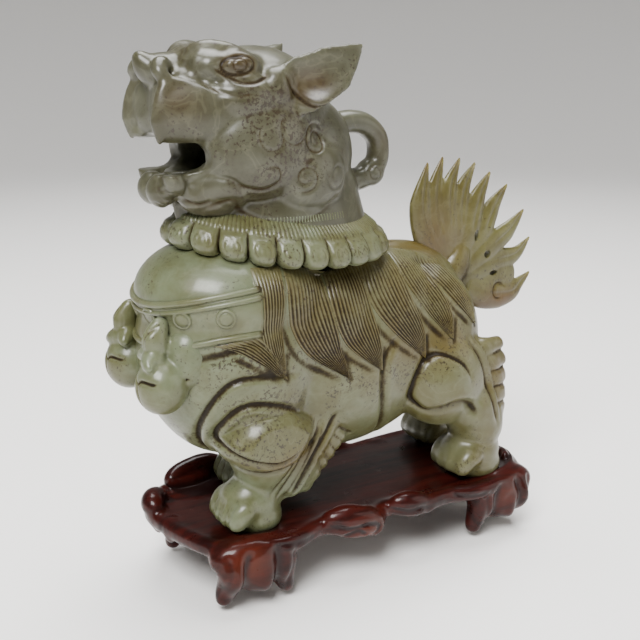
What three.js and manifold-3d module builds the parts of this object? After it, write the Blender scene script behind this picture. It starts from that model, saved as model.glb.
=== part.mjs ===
// A carved jade guardian lion censer on a hardwood root stand, in millimetres.
// The lion faces -X, its flanks lie towards -Y and +Y, +Z is up and the stand's feet rest on Z = 0.
// The body is a vessel, the head lifts off as its lid, and the tail is cut apart and set into the rump.
import * as THREE from 'three';
import { mergeVertices } from 'three/addons/utils/BufferGeometryUtils.js';
import Module from 'manifold-3d';

const wasm = await Module();
wasm.setup();

// Driving dimensions
const GAP = 0.3; // between pieces that touch
const SIDES = [-1, 1]; // near flank (-Y) and far flank (+Y)

const SLAB_TOP = 50; // upper face of the stand
const SLAB_BOTTOM = 37;
const RECESS = 4; // how deep each paw is let into the stand
const SOLE = SLAB_TOP - RECESS + GAP;
// The four paws, the far pair a stride behind the near pair.
const FRONT_PAWS = [[-87, -26], [-61, 26]];
const HIND_PAWS = [[86, -30], [100, 28]];

const SEAT_X = -50; // middle of the neck opening
const SEAT_Z = 218; // height of the lid's seat there
const SEAT_TILT = 0.1; // radians, the seat rises towards the chest
const MOUTH_OVAL = [47, 33]; // half sizes of the neck opening
const LIP_DEPTH = 9; // how far the lid's lip reaches into the opening
const LIP_WALL = 6;

const TAIL_ROOT = new THREE.Vector3(84, 0, 184);
const TAIL_LEAN = 0.62; // radians, the peg leans back from upright
const PEG_RADIUS = 7;
const PEG_LENGTH = 18;
const TAIL_THICKNESS = 9;

const ROUND = 16; // facets round a carved swelling
const ROUND_SMALL = 10; // and round a small one

const jade = new THREE.MeshStandardMaterial({ color: 0xa3a486, roughness: 0.28, metalness: 0 });
const paleJade = new THREE.MeshStandardMaterial({ color: 0x9c9464, roughness: 0.25, metalness: 0 });
const rosewood = new THREE.MeshStandardMaterial({ color: 0x4a120d, roughness: 0.3, metalness: 0 });

// Shapes
function solid(geometry) {
  const bare = geometry.clone();
  bare.deleteAttribute('normal');
  bare.deleteAttribute('uv');
  const merged = mergeVertices(bare, 1e-4);
  const vertProperties = new Float32Array(merged.attributes.position.array);
  const triVerts = new Uint32Array(merged.index.array);
  return new wasm.Manifold(new wasm.Mesh({ numProp: 3, vertProperties, triVerts }));
}

function join(solids) {
  return solids.reduce((whole, next) => whole.add(next));
}

// An ellipsoid, optionally turned about Y by tilt.
function ball([x, y, z], [rx, ry, rz], tilt = 0, facets = ROUND) {
  const geometry = new THREE.SphereGeometry(1, facets, Math.round(facets * 0.6));
  geometry.rotateX(Math.PI / 2);
  geometry.scale(rx, ry, rz);
  geometry.rotateY(tilt);
  geometry.translate(x, y, z);
  return solid(geometry);
}

// A round-ended tapered limb between two points, squeezed along Y by flat.
function limb(from, to, fromRadius, toRadius, flat = 1) {
  const start = new THREE.Vector3(...from);
  const along = new THREE.Vector3(...to).sub(start);
  const length = along.length();
  const profile = [];
  const steps = 3;
  for (let i = 0; i <= steps; i += 1) {
    const angle = -Math.PI / 2 * (1 - i / steps);
    profile.push(new THREE.Vector2(fromRadius * Math.cos(angle), fromRadius * Math.sin(angle)));
  }
  for (let i = 0; i <= steps; i += 1) {
    const angle = Math.PI / 2 * (i / steps);
    profile.push(new THREE.Vector2(toRadius * Math.cos(angle), length + toRadius * Math.sin(angle)));
  }
  profile[0].x = 0;
  profile[profile.length - 1].x = 0;
  const geometry = new THREE.LatheGeometry(profile, 12);
  geometry.scale(1, 1, flat);
  const direction = along.normalize();
  const across = new THREE.Vector3().crossVectors(direction, new THREE.Vector3(0, 1, 0)).normalize();
  const thick = new THREE.Vector3().crossVectors(across, direction);
  geometry.applyMatrix4(new THREE.Matrix4().makeBasis(across, direction, thick).setPosition(start));
  return solid(geometry);
}

// An upright oval cylinder from low to high.
function oval([x, y], [halfX, halfY], low, high, facets = 36) {
  const geometry = new THREE.CylinderGeometry(1, 1, high - low, facets);
  geometry.rotateX(Math.PI / 2);
  geometry.scale(halfX, halfY, 1);
  geometry.translate(x, y, (low + high) / 2);
  return solid(geometry);
}

function block([lowX, lowY, lowZ], [highX, highY, highZ]) {
  const geometry = new THREE.BoxGeometry(highX - lowX, highY - lowY, highZ - lowZ);
  geometry.translate((lowX + highX) / 2, (lowY + highY) / 2, (lowZ + highZ) / 2);
  return solid(geometry);
}

// The space on one side of the tilted seat: everything above it, or everything below it.
function seatSpace(above, gap) {
  const reach = 400;
  const geometry = new THREE.BoxGeometry(2 * reach, reach, reach);
  geometry.translate(0, 0, above ? reach / 2 + gap : -reach / 2 - gap);
  geometry.rotateY(SEAT_TILT);
  geometry.translate(SEAT_X, 0, SEAT_Z);
  return solid(geometry);
}

// An outline in the X-Z plane, given thickness along Y about the middle plane, with softened edges.
function plate(shape, thickness, soften) {
  const geometry = new THREE.ExtrudeGeometry(shape, {
    depth: thickness - 2 * soften,
    bevelThickness: soften,
    bevelSize: soften,
    bevelOffset: -soften,
    bevelSegments: 1,
    curveSegments: 5,
  });
  geometry.translate(0, 0, soften - thickness / 2);
  geometry.rotateX(Math.PI / 2);
  return solid(geometry);
}

const lion = new THREE.Group();

function addPiece(name, whole, material) {
  const { vertProperties, triVerts } = whole.getMesh();
  const geometry = new THREE.BufferGeometry();
  geometry.setAttribute('position', new THREE.BufferAttribute(vertProperties, 3));
  geometry.setIndex(new THREE.BufferAttribute(triVerts, 1));
  const mesh = new THREE.Mesh(geometry, material);
  mesh.name = name;
  lion.add(mesh);
}

// Body vessel: chest, barrel, rump, haunches, four legs, harness strap and bells in one stone.
function frontLeg([x, y]) {
  return [
    ball([x + 6, y * 1.1, 122], [42, 24, 36]), // shoulder
    limb([x + 10, y, 100], [x + 10, y, 68], 21, 16),
    ball([x, y, 64], [22, 18, 19]), // paw
    limb([x + 26, y * 1.1, 76], [x + 50, y * 1.1, 106], 12, 10, 0.9), // hair behind the leg
  ];
}

function hindLeg([x, y]) {
  return [
    ball([x - 28, y * 0.9, 118], [44, 24, 38]), // haunch
    limb([x, y, 98], [x + 1, y, 64], 23, 19),
    ball([x - 1, y, 61], [26, 18, 17]), // paw
    limb([x + 17, y * 1.2, 92], [x + 14, y * 1.1, 130], 10, 12, 0.9), // hair behind the hock
  ];
}

function bell(side) {
  const y = side * 27;
  return [
    limb([-134, y, 184], [-141, y, 164], 7, 6), // ribbon
    ball([-141, y, 147], [15, 15, 15]),
  ];
}

function bodyVessel() {
  const stone = [
    ball([-83, 0, 157], [61, 55, 71]), // chest
    ball([-82, 0, 194], [59, 53, 28], SEAT_TILT), // shoulders
    ball([-14, 0, 146], [94, 50, 70]), // barrel
    ball([54, 0, 142], [48, 44, 56]), // rump
    limb([0, 0, 196], [68, 0, 182], 18, 18), // spine
    oval([-84, 0], [60, 55], 175, 202, 24), // harness strap
    ...FRONT_PAWS.flatMap(frontLeg),
    ...HIND_PAWS.flatMap(hindLeg),
    ...SIDES.flatMap(bell),
  ];
  const neck = [MOUTH_OVAL[0] + GAP, MOUTH_OVAL[1] + GAP];
  const cuts = [
    seatSpace(true, 0),
    block([-200, -100, 0], [200, 100, SOLE]),
    oval([SEAT_X, 0], neck, 165, 260, 28),
    ball([-48, 0, 160], [64, 36, 46]), // hollow of the vessel
    tailPeg(PEG_RADIUS + GAP, PEG_LENGTH + 1),
  ];
  return cuts.reduce((whole, cut) => whole.subtract(cut), join(stone));
}

// Tail: a fan of flame-shaped tufts on a peg.
function tailPeg(radius, length) {
  const geometry = new THREE.CylinderGeometry(radius, radius, 2 * length, 12);
  geometry.rotateX(Math.PI / 2);
  geometry.rotateY(TAIL_LEAN);
  geometry.translate(TAIL_ROOT.x, 0, TAIL_ROOT.z);
  return solid(geometry);
}

function tail() {
  const tips = [[63, 263], [76, 266], [90, 264], [104, 260], [117, 253], [134, 243], [150, 224], [158, 203], [160, 177]];
  const heart = new THREE.Vector2(98, 196);
  const shape = new THREE.Shape();
  shape.moveTo(78, 184);
  shape.quadraticCurveTo(46, 210, 56, 245);
  tips.forEach(([x, z], i) => {
    const tip = new THREE.Vector2(x, z);
    shape.lineTo(x, z);
    const next = tips[i + 1];
    if (next) {
      const notch = tip.clone().add(new THREE.Vector2(...next)).multiplyScalar(0.5).lerp(heart, 0.3);
      shape.lineTo(notch.x, notch.y);
    }
  });
  shape.quadraticCurveTo(146, 152, 118, 152);
  shape.quadraticCurveTo(98, 160, 92, 176);
  const fan = join([plate(shape, TAIL_THICKNESS, 2.5), limb([86, 0, 190], [92, 0, 214], 12, 9)]);
  return fan.subtract(rumpSkin()).add(tailPeg(PEG_RADIUS, PEG_LENGTH));
}

// The rump's outside and a hair more, which the tail's foot is fitted against.
function rumpSkin() {
  return join([
    ball([54, 0, 142], [48 + GAP, 44 + GAP, 56 + GAP]),
    limb([0, 0, 196], [68, 0, 182], 18 + GAP, 18 + GAP),
  ]);
}

// Head lid: skull, open jaws, ears, ring handle and scalloped collar, hollow inside.
function headSide(side) {
  return [
    ball([-76, side * 28, 278], [33, 18, 28]), // cheek
    limb([-58, side * 30, 314], [-24, side * 52, 335], 15, 3, 0.8), // ear
    ball([-98, side * 19, 326], [13, 13, 12], 0, ROUND_SMALL), // brow
  ];
}

function collar() {
  const lobes = 22;
  const ring = [];
  for (let i = 0; i < lobes; i += 1) {
    const angle = (i / lobes) * 2 * Math.PI;
    const x = SEAT_X + 66 * Math.cos(angle);
    const y = 45 * Math.sin(angle);
    const z = SEAT_Z - SEAT_TILT * (x - SEAT_X) + 8;
    ring.push(ball([x, y, z], [12, 11, 12], 0, ROUND_SMALL));
  }
  return ring;
}

function handle() {
  const geometry = new THREE.TorusGeometry(16, 7.5, 8, 20);
  geometry.rotateX(Math.PI / 2);
  geometry.translate(7, 0, 271);
  return solid(geometry);
}

function headLid() {
  const mouthLow = 266;
  const mouthHigh = 285;
  const mouthBack = -106;
  const stone = [
    ball([-67, 0, 294], [51, 41, 46]), // skull
    limb([-92, 0, 305], [-121, 0, 304], 24, 16, 1.42), // upper jaw
    limb([-116, 0, 317], [-132, 0, 328], 15, 5, 1.4), // nose
    limb([-84, 0, 250], [-118, 0, 257], 22, 14, 1.35), // lower jaw
    limb([-122, 0, 252], [-131, 0, 262], 8, 8), // tuft on the chin
    oval([SEAT_X, 0], [66, 44], 205, 240, 28),
    ball([SEAT_X, 0, 240], [66, 44, 34]), // neck
    handle(),
    ...SIDES.flatMap(headSide),
    ...collar(),
  ];
  const cuts = [
    seatSpace(false, -GAP),
    block([-200, -70, mouthLow], [mouthBack, 70, mouthHigh]), // open jaws
    limb([-115, 0, 275], [-60, 0, 268], 11, 11), // throat
  ];
  const fangs = SIDES.map((side) => limb([-129, side * 21, 294], [-132, side * 22, 282], 6, 2));
  const head = cuts.reduce((whole, cut) => whole.subtract(cut), join(stone));
  const lip = oval([SEAT_X, 0], MOUTH_OVAL, SEAT_Z - LIP_DEPTH, SEAT_Z + 10, 28);
  const bore = [MOUTH_OVAL[0] - LIP_WALL, MOUTH_OVAL[1] - LIP_WALL];
  return join([head, ...fangs, lip])
    .subtract(oval([SEAT_X, 0], bore, 190, 240, 28))
    .subtract(ball([SEAT_X - 6, 0, 240], [47, 27, 48]));
}

// Stand: a lobed slab with paw recesses, a raised rim, hanging scrolls and four clusters of toes.
function slabOutline() {
  const points = [
    [-134, 4], [-127, -22], [-118, -40], [-98, -53], [-72, -57], [-48, -48], [-19, -55], [6, -46],
    [27, -55], [52, -52], [78, -57], [100, -54], [118, -44], [129, -28], [133, -2], [131, 26],
    [118, 47], [94, 56], [58, 55], [28, 52], [2, 56], [-28, 50], [-58, 56], [-88, 60],
    [-114, 56], [-128, 44], [-136, 26],
  ];
  const curve = new THREE.CatmullRomCurve3(points.map(([x, y]) => new THREE.Vector3(x, y, 0)), true);
  return new THREE.Shape(curve.getPoints(54).slice(0, -1).map((p) => new THREE.Vector2(p.x, p.y)));
}

function standTop() {
  const soften = 3;
  const slab = new THREE.ExtrudeGeometry(slabOutline(), {
    depth: SLAB_TOP - SLAB_BOTTOM - 2 * soften,
    bevelThickness: soften,
    bevelSize: soften,
    bevelOffset: -soften,
    bevelSegments: 1,
  });
  slab.translate(0, 0, SLAB_BOTTOM + soften);
  const wood = [
    solid(slab),
    limb([-112, 48, 52], [-88, 53, 58], 7, 6), // raised rim on the far front
    ball([-132, 28, 50], [8, 11, 9], 0, ROUND_SMALL), // knob
    limb([-128, 18, 44], [-131, 16, 32], 9, 5), // hanging root tip
  ];
  for (const side of SIDES) {
    wood.push(limb([118, side * 34, 46], [126, side * 12, 48], 6, 7)); // raised rim behind the hind paws
    wood.push(limb([-19, side * 46, 44], [-19, side * 49, 36], 11, 6, 0.6)); // hanging scrolls
    wood.push(limb([27, side * 46, 44], [27, side * 49, 36], 11, 5, 0.6));
  }
  const recesses = [...FRONT_PAWS, ...HIND_PAWS].map(
    ([x, y]) => oval([x, y], [29, 21], SLAB_TOP - RECESS, 90, 24),
  );
  return recesses.reduce((whole, recess) => whole.subtract(recess), join(wood));
}

// A cluster of toes spreading down from under the slab, each toe given by where it meets the floor.
function standFoot(crown, toes) {
  const radius = 13;
  const toeRadius = 5;
  const branches = toes.map(([x, y]) => limb(crown, [x, y, toeRadius - 1], radius, toeRadius));
  return join(branches)
    .subtract(block([-250, -120, SLAB_BOTTOM - GAP], [250, 120, 120]))
    .subtract(block([-250, -120, -30], [250, 120, 0]));
}

addPiece('body_vessel', bodyVessel(), jade);
addPiece('head_lid', headLid(), jade);
addPiece('tail_fan', tail(), paleJade);
addPiece('stand_top', standTop(), rosewood);
for (const side of SIDES) {
  const flank = side < 0 ? 'near' : 'far';
  const frontToes = [[-113, side * 42], [-92, side * 48], [-70, side * 45]];
  const rearToes = [[79, side * 43], [104, side * 44], [126, side * 32]];
  addPiece(`stand_foot_front_${flank}`, standFoot([-92, side * 41, 36], frontToes), rosewood);
  addPiece(`stand_foot_rear_${flank}`, standFoot([100, side * 39, 36], rearToes), rosewood);
}

// The origin is under the middle of the whole piece, at floor level.
const middle = new THREE.Box3().setFromObject(lion).getCenter(new THREE.Vector3());
lion.position.set(-middle.x, -middle.y, 0);

export default lion;
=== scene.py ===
from math import cos, pi, radians, sin, sqrt

import bmesh
import bpy
import numpy as np
from mathutils import Matrix, Vector
from mathutils.bvhtree import BVHTree


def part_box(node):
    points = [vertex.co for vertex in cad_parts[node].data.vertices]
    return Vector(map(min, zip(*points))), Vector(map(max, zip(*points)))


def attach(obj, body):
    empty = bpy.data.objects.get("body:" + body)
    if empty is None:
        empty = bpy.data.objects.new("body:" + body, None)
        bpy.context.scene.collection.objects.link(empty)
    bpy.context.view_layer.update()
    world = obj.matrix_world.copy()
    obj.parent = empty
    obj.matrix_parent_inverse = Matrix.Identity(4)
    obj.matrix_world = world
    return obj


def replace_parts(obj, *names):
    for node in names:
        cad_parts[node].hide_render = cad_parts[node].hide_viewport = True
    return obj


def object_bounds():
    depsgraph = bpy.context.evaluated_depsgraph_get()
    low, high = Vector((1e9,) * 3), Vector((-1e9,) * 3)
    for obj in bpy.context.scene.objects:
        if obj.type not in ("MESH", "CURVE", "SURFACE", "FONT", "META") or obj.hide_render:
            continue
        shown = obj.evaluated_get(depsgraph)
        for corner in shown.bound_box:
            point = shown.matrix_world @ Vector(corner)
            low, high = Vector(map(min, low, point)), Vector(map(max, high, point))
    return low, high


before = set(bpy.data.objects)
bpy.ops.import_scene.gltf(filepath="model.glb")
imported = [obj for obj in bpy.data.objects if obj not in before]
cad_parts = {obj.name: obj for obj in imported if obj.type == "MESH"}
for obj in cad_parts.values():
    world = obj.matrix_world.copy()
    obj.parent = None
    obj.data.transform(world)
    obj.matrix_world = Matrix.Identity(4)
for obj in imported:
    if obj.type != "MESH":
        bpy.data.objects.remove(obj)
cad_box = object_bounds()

# Carving sizes are in millimetres from the lion's own middle. The bells' fronts lie at X = -156.
MM = 0.001
BELL_FRONT = -156.0
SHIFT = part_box("body_vessel")[0].x / MM - BELL_FRONT
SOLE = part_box("body_vessel")[0].z / MM
NEAR, FAR = -1, 1

# The four feet; the far pair stands a stride behind the near pair.
FRONT_PAWS = {NEAR: (-87, -26), FAR: (-61, 26)}
HIND_PAWS = {NEAR: (86, -30), FAR: (100, 28)}
CHEST = (-83.0, 0.0)


# ---------------------------------------------------------------- camera

def look_from(position, target, lens):
    camera = bpy.data.objects.new("camera", bpy.data.cameras.new("camera"))
    camera.data.lens = lens
    camera.data.sensor_width = 36
    camera.location = position
    camera.rotation_euler = (target - position).to_track_quat("-Z", "Y").to_euler()
    bpy.context.scene.collection.objects.link(camera)
    bpy.context.scene.camera = camera


VIEW_TURN = radians(-30)
VIEW_DROP = radians(15.5)
VIEW_BACK = Vector((sin(VIEW_TURN) * cos(VIEW_DROP), -cos(VIEW_TURN) * cos(VIEW_DROP), sin(VIEW_DROP)))
VIEW_FROM = Vector(((-328.2 + SHIFT) * MM, -533.8 * MM, 334.0 * MM))
look_from(VIEW_FROM, VIEW_FROM - VIEW_BACK, 55.125)


# ---------------------------------------------------------------- shaping tools

def smooth_line(points, count):
    """A curve through the points, as count + 1 evenly spaced places."""
    points = np.asarray(points, float)
    padded = np.vstack([2 * points[0] - points[1], points, 2 * points[-1] - points[-2]])
    fine = []
    for p0, p1, p2, p3 in zip(padded, padded[1:], padded[2:], padded[3:]):
        for t in np.linspace(0, 1, 16, endpoint=False):
            fine.append(0.5 * (2 * p1 + (p2 - p0) * t + (2 * p0 - 5 * p1 + 4 * p2 - p3) * t * t
                               + (3 * p1 - p0 - 3 * p2 + p3) * t ** 3))
    fine.append(points[-1])
    fine = np.array(fine)
    run = np.concatenate([[0], np.cumsum(np.linalg.norm(np.diff(fine, axis=0), axis=1))])
    places = np.linspace(0, run[-1], count + 1)
    return np.stack([np.interp(places, run, fine[:, k]) for k in range(fine.shape[1])], axis=1)


ROUND_MESHES = {}


def round_points(bm, around, along):
    """Adds a sphere to bm. Gives its points, the ring each is in, counted from the foot, and its turn."""
    if (around, along) not in ROUND_MESHES:
        fresh = bmesh.new()
        bmesh.ops.create_uvsphere(fresh, u_segments=around, v_segments=along, radius=1)
        ROUND_MESHES[around, along] = new_mesh(fresh, "round")
    mesh = ROUND_MESHES[around, along]
    bm.from_mesh(mesh)
    bm.verts.ensure_lookup_table()
    verts = bm.verts[-len(mesh.vertices):]
    co = np.array([vert.co for vert in verts])
    ring = np.rint(np.arccos(np.clip(-co[:, 2], -1, 1)) / pi * along).astype(int)
    turn = (np.arctan2(co[:, 1], co[:, 0]) / (2 * pi)) % 1.0
    return verts, co, ring, turn


def place_all(verts, places):
    for vert, place in zip(verts, places):
        vert.co = place


def ball(bm, centre, radii, tilt=0.0, around=32):
    verts, co, _, _ = round_points(bm, around, around * 5 // 8)
    turn = np.array(Matrix.Rotation(tilt, 3, "Y"))
    place_all(verts, (co * radii) @ turn.T + centre)


def unit(vectors):
    return vectors / np.maximum(np.linalg.norm(vectors, axis=1), 1e-9)[:, None]


def frames(line, face):
    """Directions across and out of a flat band that follows line with its broad side turned to face."""
    tangents = unit(np.gradient(line, axis=0))
    across = unit(np.cross(tangents, np.asarray(face, float)))
    return across, np.cross(across, tangents)


def limb(bm, spine, radii, flat=1.0, around=20, along=24, face=(0, 1, 0), blunt=True):
    """A tapering bent limb. radii are spread along the spine; flat squeezes it along face."""
    verts, _, ring, turn = round_points(bm, around, along)
    line = smooth_line(spine, along)
    share = np.linspace(0, 1, along + 1)
    width = np.interp(share, np.linspace(0, 1, len(radii)), radii)
    if blunt:
        length = np.linalg.norm(np.diff(line, axis=0), axis=1).sum()
        for end, reach in ((share, radii[0]), (1 - share, radii[-1])):
            near = np.clip(end * length / max(reach, 0.01), 0, 1)
            width = width * np.sqrt(1 - (1 - near) ** 2)
    across, out = frames(line, face)
    angle = (2 * pi * turn)[:, None]
    half = width[ring][:, None]
    place_all(verts, line[ring] + half * (np.cos(angle) * across[ring] + flat * np.sin(angle) * out[ring]))


def laid(left, right, project, across, share):
    """Places and outward directions on a surface between two edge lines, from a grid of soundings."""
    wide, long = 14, 28
    edges = smooth_line(left, long), smooth_line(right, long)
    grid = np.zeros((2, long + 1, wide + 1, 3))
    for i in range(long + 1):
        for j in range(wide + 1):
            mix = j / wide
            grid[:, i, j] = project(*((1 - mix) * edges[0][i] + mix * edges[1][i]))
    row, column = share * long, across * wide
    i, j = np.minimum(row.astype(int), long - 1), np.minimum(column.astype(int), wide - 1)
    u, v = (row - i)[:, None], (column - j)[:, None]
    mixed = [(1 - u) * ((1 - v) * g[i, j] + v * g[i, j + 1]) + u * ((1 - v) * g[i + 1, j] + v * g[i + 1,
                                                                                                  j + 1])
             for g in grid]
    return mixed[0], unit(mixed[1])


def strip(bm, left, right, project, height, grooves=0, depth=0.0, around=64, along=36, crown=4.0,
          root=0.5):
    """A low relief strip between two edge lines, laid on a surface by project; its grooves run along it.

    Returns how deep each of its points lies in a groove.
    """
    verts, _, ring, turn = round_points(bm, around, along)
    top = turn < 0.5
    across = np.where(top, 2 * turn, 2 - 2 * turn)
    share = ring / along
    place, normal = laid(left, right, project, across, share)
    rise = 1 - np.abs(2 * across - 1) ** crown
    groove = np.zeros(len(verts))
    if grooves:
        groove = (1 - (0.5 - 0.5 * np.cos(2 * pi * grooves * across)) ** 1.5) * np.minimum(1,
                                                                                           6 * share) * top
    lift = np.where(top, -0.5 + height * rise * np.minimum(1, root + 3 * share) - depth * groove, -1.5)
    place_all(verts, place + normal * lift[:, None])
    return list(groove)


def lathe(bm, profile, place):
    """A turned shape: the profile of (radius, height) points spun round the Z axis of place."""
    verts = [bm.verts.new((r, 0, z)) for r, z in profile]
    edges = [bm.edges.new(pair) for pair in zip(verts, verts[1:])]
    made = bmesh.ops.spin(bm, geom=verts + edges, axis=(0, 0, 1), cent=(0, 0, 0), steps=28, angle=2 * pi,
                          use_merge=True)
    turned = set(verts) | {v for v in made["geom_last"] if isinstance(v, bmesh.types.BMVert)}
    for edge in edges:
        turned.update(edge.verts)
    seen = set()
    todo = list(turned)
    while todo:
        vert = todo.pop()
        if vert in seen:
            continue
        seen.add(vert)
        todo.extend(e.other_vert(vert) for e in vert.link_edges)
    bmesh.ops.remove_doubles(bm, verts=list(seen), dist=0.001)
    live = [v for v in seen if v.is_valid]
    bmesh.ops.transform(bm, matrix=place, verts=live)
    bmesh.ops.recalc_face_normals(bm, faces=list({f for v in live for f in v.link_faces}))


def new_mesh(bm, name):
    mesh = bpy.data.meshes.new(name)
    bmesh.ops.recalc_face_normals(bm, faces=bm.faces)
    bm.to_mesh(mesh)
    bm.free()
    return mesh


def fused(bm, name, voxel, hollow=None):
    """The overlapping lumps in bm as one skin with points about a voxel apart, less the mesh hollow."""
    lumps = bpy.data.objects.new(name + "_lumps", new_mesh(bm, name + "_lumps"))
    bpy.context.scene.collection.objects.link(lumps)
    remesh = lumps.modifiers.new("fuse", "REMESH")
    remesh.mode = "VOXEL"
    remesh.voxel_size = voxel
    rough = [lumps]
    if hollow:
        cutter = bpy.data.objects.new(name + "_cutter", hollow)
        bpy.context.scene.collection.objects.link(cutter)
        rough.append(cutter)
        cut = lumps.modifiers.new("cut", "BOOLEAN")
        cut.operation = "DIFFERENCE"
        cut.solver = "MANIFOLD"
        cut.object = cutter
    mesh = bpy.data.meshes.new_from_object(lumps.evaluated_get(bpy.context.evaluated_depsgraph_get()))
    for obj in rough:
        data = obj.data
        bpy.data.objects.remove(obj)
        bpy.data.meshes.remove(data)
    return mesh


class Carving:
    """A mesh under the chisel, in millimetres. Each point keeps how cut, with the dirt and painted shade of
    its cuts and folds, how warm and how dirty it is.
    """

    def __init__(self, mesh):
        self.mesh = mesh
        count = len(mesh.vertices)
        flat = np.empty(count * 3)
        mesh.vertices.foreach_get("co", flat)
        self.co = flat.reshape(-1, 3)
        ends = np.empty(len(mesh.edges) * 2, int)
        mesh.edges.foreach_get("vertices", ends)
        self.a, self.b = ends.reshape(-1, 2).T
        self.links = np.maximum(np.bincount(ends, minlength=count), 1)
        self.cut = np.zeros(count)
        self.warm = np.zeros(count)
        self.grime = np.zeros(count)
        self.out = self.normals()

    def around(self, values):
        count = len(self.links)
        columns = values.reshape(count, -1).T
        mean = [(np.bincount(self.a, v[self.b], count) + np.bincount(self.b, v[self.a],
                                                                     count)) / self.links
                for v in columns]
        return np.stack(mean, axis=1).reshape(values.shape)

    def smooth(self, times, amount=0.5):
        for _ in range(times):
            self.co += amount * (self.around(self.co) - self.co)
        self.out = self.normals()

    def normals(self):
        """The outward directions as the surface stands now."""
        self.mesh.vertices.foreach_set("co", self.co.ravel())
        self.mesh.update()
        flat = np.empty(self.co.size)
        self.mesh.vertex_normals.foreach_get("vector", flat)
        return flat.reshape(-1, 3)

    def groove(self, path, width, depth, side=0, axis=1, lip=0.0, dirt_and_shade=1.0, closed=False):
        """A cut along a path given in the plane square to axis, on the side of the carving that side names.

        lip raises the ground along the path's left (or, if negative, its right).
        """
        plane = [k for k in range(3) if k != axis]
        path = np.asarray(path, float)
        if closed:
            path = np.vstack([path, path[:1]])
        line = smooth_line(path, max(12, 6 * len(path)))
        normals = self.out
        flat = self.co[:, plane]
        reach = 5 * width
        near = np.all((flat > line.min(0) - reach) & (flat < line.max(0) + reach), axis=1)
        if side:
            near &= (normals[:, axis] * side > 0.1) & (self.co[:, axis] * side > 0)
        index = np.where(near)[0]
        if not len(index):
            return
        points = flat[index]
        best = np.full(len(index), 1e9)
        signed = np.zeros(len(index))
        share = np.zeros(len(index))
        steps = len(line) - 1
        for k in range(steps):
            start, along = line[k], line[k + 1] - line[k]
            t = np.clip((points - start) @ along / max(along @ along, 1e-9), 0, 1)
            away = points - start - t[:, None] * along
            distance = np.linalg.norm(away, axis=1)
            closer = distance < best
            best[closer] = distance[closer]
            signed[closer] = np.sign(along[0] * away[closer, 1] - along[1] * away[closer, 0])
            share[closer] = (k + t[closer]) / steps
        fade = np.ones(len(index)) if closed else np.clip(np.minimum(share, 1 - share) * 7, 0, 1) ** 0.6
        dip = np.exp(-(best / width) ** 2)
        move = -depth * dip
        if lip:
            beside = np.clip(signed * np.sign(lip), 0, 1)
            move += abs(lip) * beside * np.exp(-((best - 1.2 * width) / (2.2 * width)) ** 2)
        self.co[index] += normals[index] * (move * fade)[:, None]
        # The cut's darkening: dirt and painted shade along it.
        self.cut[index] = np.maximum(self.cut[index],
                                     dirt_and_shade * fade * np.exp(-(best / (0.95 * width)) ** 2))

    def swell(self, centre, radii, height):
        """Raises or sinks the ground round a place."""
        away = np.linalg.norm((self.co - centre) / radii, axis=1)
        index = np.where(away < 2.5)[0]
        self.co[index] += self.out[index] * (height * np.exp(-away[index] ** 2))[:, None]

    def patch(self, centre, radii, warm=0.0, grime=0.0):
        """Warms the colour, or gathers old dirt, round a place."""
        near = np.exp(-np.sum(((self.co - centre) / radii) ** 2, axis=1))
        self.warm += warm * near
        self.grime += grime * near

    def shade_folds(self, gain, passes=3):
        """Adds painted shade to the cuts wherever the surface folds inwards."""
        normals = self.normals()
        inward = np.einsum("ij,ij->i", self.around(self.co) - self.co, normals)
        for _ in range(passes):
            inward = self.around(inward)
        self.cut = np.clip(self.cut + np.clip(gain * inward, -0.2, 1), 0, 1)

    def tree(self):
        self.normals()
        faces = [tuple(p.vertices) for p in self.mesh.polygons]
        return BVHTree.FromPolygons([Vector(c) for c in self.co], faces)

    def piece(self, name, body, slot, material):
        """The finished piece, in place in the frame."""
        low, high = (np.array(corner) for corner in cad_box)
        place = self.co * MM + np.array([SHIFT * MM, 0, 0])
        place = np.clip(place, low, high)
        self.mesh.vertices.foreach_set("co", place.ravel())
        for label, values in (("cut", self.cut), ("warm", self.warm), ("grime", self.grime)):
            layer = self.mesh.attributes.new(label, "FLOAT", "POINT")
            layer.data.foreach_set("value", np.clip(values, 0, 1))
        self.mesh.polygons.foreach_set("use_smooth", [True] * len(self.mesh.polygons))
        self.mesh.update()
        obj = bpy.data.objects.new(name, self.mesh)
        self.mesh.name = name
        bpy.context.scene.collection.objects.link(obj)
        obj.data.materials.clear()
        obj.data.materials.append(material)
        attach(obj, body)
        return obj


# ---------------------------------------------------------------- finishes

def effect(name, inputs, outputs):
    group = bpy.data.node_groups.new(name, "ShaderNodeTree")
    for label, kind, value in inputs:
        group.interface.new_socket(label, in_out="INPUT", socket_type=kind).default_value = value
    for label, kind in outputs:
        group.interface.new_socket(label, in_out="OUTPUT", socket_type=kind)
    return group, group.nodes.new("NodeGroupInput"), group.nodes.new("NodeGroupOutput")


def math(tree, operation, first, second, clamp=False):
    node = tree.nodes.new("ShaderNodeMath")
    node.operation = operation
    node.use_clamp = clamp
    for socket, value in zip(node.inputs, (first, second)):
        if isinstance(value, (int, float)):
            socket.default_value = value
        else:
            tree.links.new(value, socket)
    return node.outputs[0]


def blend(tree, amount, first, second, mode="MIX"):
    node = tree.nodes.new("ShaderNodeMix")
    node.data_type = "RGBA"
    node.blend_type = mode
    node.clamp_factor = True
    for socket, value in ((node.inputs[0], amount), (node.inputs[6], first), (node.inputs[7], second)):
        if isinstance(value, (int, float)):
            socket.default_value = value
        elif isinstance(value, tuple):
            socket.default_value = (*value, 1)
        else:
            tree.links.new(value, socket)
    return node.outputs[2]


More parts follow.
